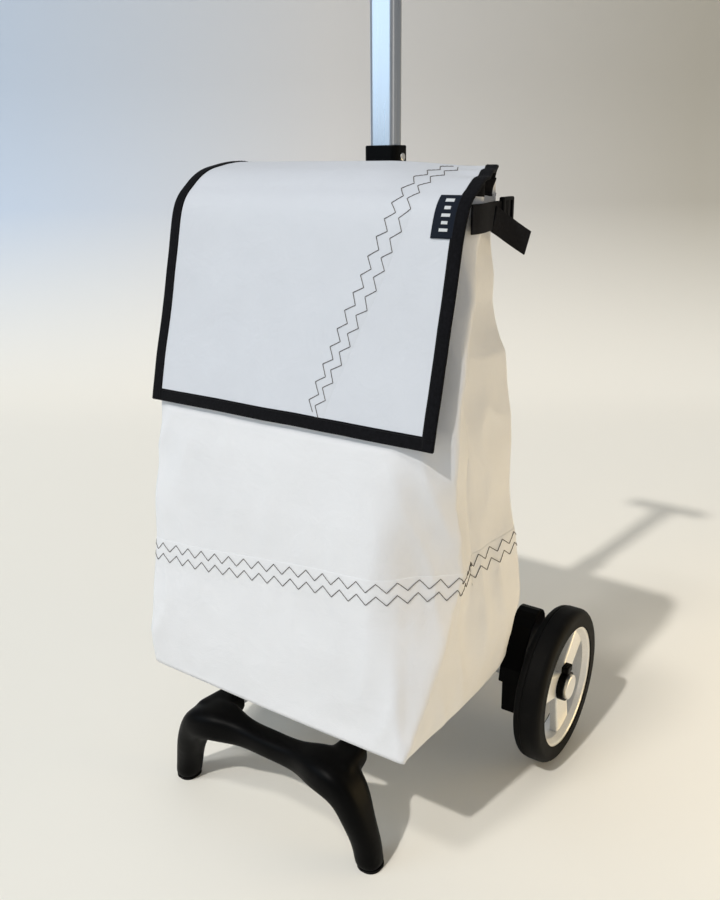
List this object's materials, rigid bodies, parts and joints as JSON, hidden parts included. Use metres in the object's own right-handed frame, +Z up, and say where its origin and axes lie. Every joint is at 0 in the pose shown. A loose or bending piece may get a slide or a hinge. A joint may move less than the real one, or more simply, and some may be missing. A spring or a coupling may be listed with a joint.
{
  "type": "shopping trolley",
  "caption": "Sailcloth shopping trolley with a telescopic central mast, side wheels, a lidded bag and a fold-up platform that ends in a bridge-shaped front foot.",
  "frame": {"origin": "on the floor, at the middle of the overall outline", "axes": "+X to the right, -Y is the front of the bag, +Z up"},
  "size_m": [0.4252, 0.3694, 1.018],
  "materials": {
    "tyre_rubber": "matte tyre rubber",
    "silver_rim": "silver lacquer",
    "bush_nylon": "plain nylon",
    "black_moulding": "fine-grained black moulding",
    "polished_cap": "bright cap",
    "steel": "zinc plated",
    "aluminium": "satin anodised",
    "soft_rubber": "soft black rubber",
    "sailcloth": "used white sailcloth, plain weave",
    "black_binding": "woven black tape",
    "webbing": "black webbing",
    "buckle_plastic": "black acetal",
    "tab_weave": "fine woven tab, plain light stripes"
  },
  "bodies": {
    "frame": {"axle_rod": "steel", "axle_tube": "aluminium", "axle_washers": "steel", "mast_socket": "black_moulding", "mast_outer_tube": "aluminium", "mast_collar": "black_moulding", "wheel_bracket_left": "black_moulding", "wheel_bracket_right": "black_moulding", "hinge_block_left": "black_moulding", "hinge_block_right": "black_moulding", "pivot_pin_left": "steel", "pivot_pin_right": "steel", "bag_body": "sailcloth", "bag_hem": "black_binding", "side_strap_left": "webbing", "side_strap_right": "webbing", "strap_buckle_left": "buckle_plastic", "strap_buckle_right": "buckle_plastic", "strap_tail_left": "webbing", "strap_tail_right": "webbing", "mast_strap_upper": "webbing", "mast_strap_lower": "webbing"},
    "platform": {"arm_tube_left": "aluminium", "arm_tube_right": "aluminium", "arm_eye_left": "black_moulding", "arm_eye_right": "black_moulding", "front_foot": "black_moulding", "foot_screws": "steel", "foot_pad_left": "soft_rubber", "foot_pad_right": "soft_rubber"},
    "mast": {"mast_inner_tube": "aluminium", "mast_guide": "black_moulding", "handle_socket": "black_moulding", "handle_core": "aluminium", "handle_grip_left": "soft_rubber", "handle_grip_right": "soft_rubber", "handle_end_cap_left": "black_moulding", "handle_end_cap_right": "black_moulding", "handle_screws": "steel"},
    "lock": {"lock_button": "polished_cap"},
    "flap": {"flap_panel": "sailcloth", "flap_binding": "black_binding", "woven_tab": "tab_weave"},
    "wheel_left": {"tyre_left": "tyre_rubber", "rim_left": "silver_rim", "wheel_bush_left": "bush_nylon", "hub_left": "black_moulding", "hub_cap_left": "polished_cap"},
    "clip_left": {"release_clip_left": "black_moulding"},
    "wheel_right": {"tyre_right": "tyre_rubber", "rim_right": "silver_rim", "wheel_bush_right": "bush_nylon", "hub_right": "black_moulding", "hub_cap_right": "polished_cap"},
    "clip_right": {"release_clip_right": "black_moulding"}
  },
  "joints": [
    {"name": "wheel_spin_left", "type": "hinge", "parent": "frame", "child": "wheel_left", "pos_m": [-0.195, 0.099, 0.086], "axis": [1, 0, 0], "continuous": true},
    {"name": "wheel_spin_right", "type": "hinge", "parent": "frame", "child": "wheel_right", "pos_m": [0.195, 0.099, 0.086], "axis": [1, 0, 0], "continuous": true},
    {"name": "clip_press_left", "type": "slide", "parent": "wheel_left", "child": "clip_left", "axis": [0, 0, -1], "range_m": [0, 0.002], "stiffness_N_per_m": 600},
    {"name": "clip_press_right", "type": "slide", "parent": "wheel_right", "child": "clip_right", "axis": [0, 0, -1], "range_m": [0, 0.002], "stiffness_N_per_m": 600},
    {"name": "mast_slide", "type": "slide", "parent": "frame", "child": "mast", "axis": [0, 0, 1], "range_m": [-0.3, 0]},
    {"name": "lock_press", "type": "slide", "parent": "frame", "child": "lock", "axis": [-1, 0, 0], "range_m": [0, 0.0012], "stiffness_N_per_m": 600},
    {"name": "platform_fold", "type": "hinge", "parent": "frame", "child": "platform", "pos_m": [0, 0.05, 0.092], "axis": [-1, 0, 0], "range_deg": [0, 85], "deforming": ["bag_body"]},
    {"name": "flap_lift", "type": "hinge", "parent": "frame", "child": "flap", "pos_m": [0, 0.0125, 0.6365], "axis": [-1, 0, 0], "range_deg": [0, 100]}
  ]
}
